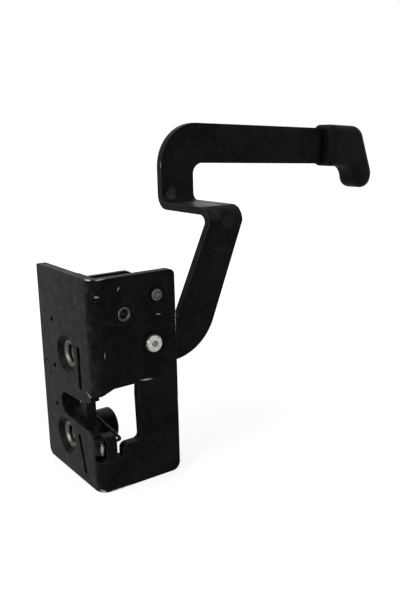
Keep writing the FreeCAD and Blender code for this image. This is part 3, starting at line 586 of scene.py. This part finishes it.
class LATCH_OT_threads(bpy.types.Operator):
    """Screw threads in the bores of the two bushes"""
    bl_idname = "latch.threads"
    bl_label = "Screw threads"

    def execute(self, context):
        colours = context.scene.latch_colours
        sizes = context.scene.latch_sizes
        pitch = sizes.thread_pitch
        wall = sizes.thread_radius + THREAD_SEAT
        steel = plain_steel("Thread steel", scaled(colours.rivet_steel, 0.6), colours.paint, sizes,
                            rough=0.32, grime=0.40)
        for bush in ("lower_bush", "upper_bush"):
            low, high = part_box(bush)
            start = low[0] + pitch
            across = (low[1] + high[1]) / 2
            level = (low[2] + high[2]) / 2
            bm = bmesh.new()
            profile = [
                bm.verts.new((start, across, level + wall)),
                bm.verts.new((start + pitch * 0.5, across, level + wall - sizes.thread_depth)),
                bm.verts.new((start + pitch, across, level + wall)),
            ]
            lines = [bm.edges.new(profile[0:2]), bm.edges.new(profile[1:3])]
            bmesh.ops.spin(bm, geom=profile + lines, cent=(0.0, across, level), axis=(1.0, 0.0, 0.0),
                           dvec=(pitch / THREAD_STEPS, 0.0, 0.0), angle=math.tau * sizes.thread_turns,
                           steps=THREAD_STEPS * sizes.thread_turns, use_duplicate=False)
            bmesh.ops.recalc_face_normals(bm, faces=bm.faces)
            mesh = bpy.data.meshes.new(bush + "_thread")
            bm.to_mesh(mesh)
            bm.free()
            mesh.materials.append(steel)
            piece = bpy.data.objects.new(bush + "_thread", mesh)
            context.scene.collection.objects.link(piece)
            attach(piece, "frame")
        return {"FINISHED"}


def seen_directly(nodes, links):
    """1 for the camera's rays and for those in reflections or through glass, otherwise 0"""
    path = nodes.new("ShaderNodeLightPath")
    seen = path.outputs["Is Camera Ray"]
    for kind in ("Is Glossy Ray", "Is Transmission Ray"):
        either = nodes.new("ShaderNodeMath")
        either.operation = "MAXIMUM"
        links.new(seen, either.inputs[0])
        links.new(path.outputs[kind], either.inputs[1])
        seen = either.outputs[0]
    return seen


def stage_material(name, shade, own_light, near, far):
    """Backdrop paint that glows where it is seen directly, from own_light within near to full beyond far"""
    material = bpy.data.materials.new(name)
    material.use_nodes = True
    nodes = material.node_tree.nodes
    links = material.node_tree.links
    nodes.remove(nodes["Principled BSDF"])
    place = nodes.new("ShaderNodeTexCoord")
    reach = nodes.new("ShaderNodeVectorMath")
    reach.operation = "LENGTH"
    links.new(place.outputs["Object"], reach.inputs[0])
    rise = nodes.new("ShaderNodeMapRange")
    rise.interpolation_type = "SMOOTHSTEP"
    links.new(reach.outputs["Value"], rise.inputs["Value"])
    rise.inputs["From Min"].default_value = near
    rise.inputs["From Max"].default_value = far
    rise.inputs["To Min"].default_value = own_light
    rise.inputs["To Max"].default_value = 1.0
    level = nodes.new("ShaderNodeMath")
    level.operation = "MULTIPLY"
    links.new(seen_directly(nodes, links), level.inputs[0])
    links.new(rise.outputs["Result"], level.inputs[1])
    glow = nodes.new("ShaderNodeEmission")
    links.new(level.outputs[0], glow.inputs["Strength"])
    paint = nodes.new("ShaderNodeBsdfDiffuse")
    paint.inputs["Color"].default_value = (shade, shade, shade, 1.0)
    both = nodes.new("ShaderNodeAddShader")
    links.new(paint.outputs[0], both.inputs[0])
    links.new(glow.outputs[0], both.inputs[1])
    links.new(both.outputs[0], nodes["Material Output"].inputs["Surface"])
    return material


def add_floor(scene, stage):
    """Square floor just under the part"""
    mesh = bpy.data.meshes.new("floor")
    bm = bmesh.new()
    bmesh.ops.create_grid(bm, x_segments=1, y_segments=1, size=stage.floor_size / 2,
                          matrix=Matrix.Translation((0.0, 0.0, -FLOOR_DROP)))
    bm.to_mesh(mesh)
    bm.free()
    mesh.materials.append(stage_material("Floor paint", shade=0.30, own_light=0.78, near=0.12, far=0.45))
    floor = bpy.data.objects.new("floor", mesh)
    scene.collection.objects.link(floor)


def add_soft_box(scene, name, place, target, size, power):
    """A square area lamp that faces a point"""
    lamp = bpy.data.lights.new(name, "AREA")
    lamp.shape = "SQUARE"
    lamp.size = size
    lamp.energy = power
    obj = bpy.data.objects.new(name, lamp)
    obj.location = place
    obj.rotation_euler = (Vector(target) - Vector(place)).to_track_quat("-Z", "Y").to_euler()
    scene.collection.objects.link(obj)


def add_surroundings(scene, ambient):
    """Even light all round, which looks white where it is seen directly"""
    world = bpy.data.worlds.new("Surroundings")
    world.use_nodes = True
    nodes = world.node_tree.nodes
    links = world.node_tree.links
    level = nodes.new("ShaderNodeMapRange")
    links.new(seen_directly(nodes, links), level.inputs["Value"])
    level.inputs["To Min"].default_value = ambient
    level.inputs["To Max"].default_value = 1.0
    background = nodes["Background"]
    background.inputs["Color"].default_value = (1.0, 1.0, 1.0, 1.0)
    links.new(level.outputs["Result"], background.inputs["Strength"])
    scene.world = world


def camera_turn(azimuth, elevation, roll):
    """Rotation of a camera that looks from an azimuth and an elevation, with its picture tilted by roll"""
    back = Vector((math.sin(azimuth) * math.cos(elevation), -math.cos(azimuth) * math.cos(elevation),
                   math.sin(elevation)))
    right = Vector((math.cos(azimuth), math.sin(azimuth), 0.0))
    up = back.cross(right)
    turned_right = right * math.cos(roll) + up * math.sin(roll)
    turned_up = up * math.cos(roll) - right * math.sin(roll)
    return Matrix((turned_right, turned_up, back)).transposed().to_4x4()


def add_camera(scene, stage):
    """The camera that sees the part as the picture does"""
    camera = bpy.data.cameras.new("camera")
    camera.sensor_fit = "AUTO"
    camera.sensor_width = SENSOR_MM
    camera.lens = SENSOR_MM * stage.focal_share
    camera.clip_start = 0.01
    camera.clip_end = 50.0
    eye = bpy.data.objects.new("camera", camera)
    eye.matrix_world = Matrix.Translation(stage.eye) @ camera_turn(stage.azimuth, stage.elevation, stage.roll)
    scene.collection.objects.link(eye)
    scene.camera = eye


class LATCH_OT_stage(bpy.types.Operator):
    """Pale floor, soft light, white surroundings and the camera"""
    bl_idname = "latch.stage"
    bl_label = "Stage"

    def execute(self, context):
        scene = context.scene
        stage = scene.latch_stage
        add_floor(scene, stage)
        add_soft_box(scene, "key_box", place=(-0.75, -0.05, 0.42), target=(0.02, 0.02, 0.05), size=0.6,
                     power=stage.key_power)
        add_soft_box(scene, "top_box", place=(0.05, 0.15, 0.9), target=(0.06, 0.02, 0.05), size=0.7,
                     power=stage.top_power)
        add_soft_box(scene, "fill_box", place=(0.25, -0.8, 0.5), target=(0.05, 0.02, 0.06), size=0.6,
                     power=stage.fill_power)
        add_surroundings(scene, stage.ambient)
        add_camera(scene, stage)
        scene.view_settings.view_transform = "Standard"
        return {"FINISHED"}


class LATCH_PT_panel(bpy.types.Panel):
    """Finishes and stage of the door latch"""
    bl_idname = "LATCH_PT_panel"
    bl_label = "Door latch"
    bl_space_type = "VIEW_3D"
    bl_region_type = "UI"
    bl_category = "Door latch"

    def draw(self, context):
        layout = self.layout
        for group in (context.scene.latch_colours, context.scene.latch_sizes, context.scene.latch_stage):
            box = layout.box()
            for key in group.__annotations__:
                box.prop(group, key)
        for operator in OPERATORS:
            layout.operator(operator.bl_idname)


GROUPS = (LatchColours, LatchSizes, LatchStage)
OPERATORS = (LATCH_OT_stage, LATCH_OT_lock_plate, LATCH_OT_lever, LATCH_OT_grip, LATCH_OT_levers_inside,
             LATCH_OT_hardware, LATCH_OT_threads)


def register():
    for item in GROUPS + OPERATORS + (LATCH_PT_panel,):
        bpy.utils.register_class(item)
    bpy.types.Scene.latch_colours = bpy.props.PointerProperty(type=LatchColours)
    bpy.types.Scene.latch_sizes = bpy.props.PointerProperty(type=LatchSizes)
    bpy.types.Scene.latch_stage = bpy.props.PointerProperty(type=LatchStage)


def unregister():
    del bpy.types.Scene.latch_stage
    del bpy.types.Scene.latch_sizes
    del bpy.types.Scene.latch_colours
    for item in reversed(GROUPS + OPERATORS + (LATCH_PT_panel,)):
        bpy.utils.unregister_class(item)


def main():
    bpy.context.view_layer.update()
    register()
    bpy.ops.latch.stage()
    bpy.ops.latch.lock_plate()
    bpy.ops.latch.lever()
    bpy.ops.latch.grip()
    bpy.ops.latch.levers_inside()
    bpy.ops.latch.hardware()
    bpy.ops.latch.threads()


if __name__ == "__main__":
    main()
